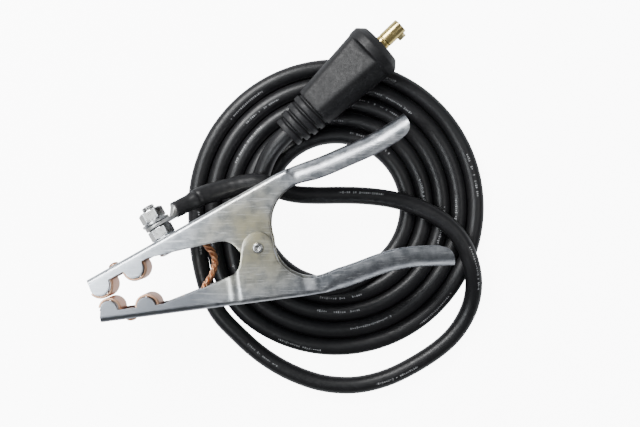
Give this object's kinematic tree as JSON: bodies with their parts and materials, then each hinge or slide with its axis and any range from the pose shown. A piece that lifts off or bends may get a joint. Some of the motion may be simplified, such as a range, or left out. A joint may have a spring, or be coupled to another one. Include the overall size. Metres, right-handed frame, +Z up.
{
  "type": "welding earth clamp lead",
  "caption": "Sprung steel earth clamp with copper jaws on a coiled black welding cable that ends in a bayonet plug with a brass pin.",
  "frame": {"origin": "on the floor, straight under the clamp's pivot, on the coil's flat underside", "axes": "+X from the jaws to the handles, +Y towards the upper arm, +Z up along the pivot"},
  "size_m": [0.234, 0.226, 0.0607],
  "materials": {
    "zinc_steel": "zinc-plated sheet steel, bright with a fine mottle and scratches",
    "bright_steel": "bright plated fasteners",
    "spring_steel": "dull spring steel",
    "copper": "bare pink copper, lightly tarnished",
    "brass": "machined brass",
    "tinned_copper": "matt tin plate",
    "cable_rubber": "smooth satin black rubber jacket",
    "sleeve_rubber": "matt moulded rubber",
    "shrink_sleeve": "matt heat-shrink sleeve"
  },
  "bodies": {
    "upper_half": {"upper_arm": "zinc_steel", "pivot_rivet": "bright_steel", "pivot_spacer": "bright_steel", "terminal_bolt": "bright_steel", "terminal_nut_inner": "bright_steel", "terminal_nut_outer": "bright_steel", "terminal_washer": "bright_steel", "torsion_spring": "spring_steel", "plug_screw_1": "spring_steel", "plug_screw_2": "spring_steel", "upper_contact": "copper", "upper_contact_rivet": "copper", "link_terminal_upper": "copper", "copper_link": "copper", "lug_conductor": "copper", "plug_ferrule": "copper", "plug_conductor": "copper", "cable_lug": "tinned_copper", "cable_lead": "cable_rubber", "cable_coil": "cable_rubber", "cable_tail": "cable_rubber", "heat_shrink": "shrink_sleeve", "plug_sleeve": "sleeve_rubber", "plug_pin": "brass"},
    "lower_half": {"lower_arm": "zinc_steel", "lower_contact": "copper", "lower_contact_rivet": "copper", "link_terminal_lower": "copper", "link_rivet": "copper"}
  },
  "joints": [
    {"name": "jaw_hinge", "type": "hinge", "parent": "upper_half", "child": "lower_half", "pos_m": [0, 0, 0.0445], "axis": [0, 0, 1], "range_deg": [0, 30], "stiffness_Nm_per_rad": 2.5, "springref_deg": -45.84, "deforming": ["torsion_spring", "copper_link"]}
  ]
}
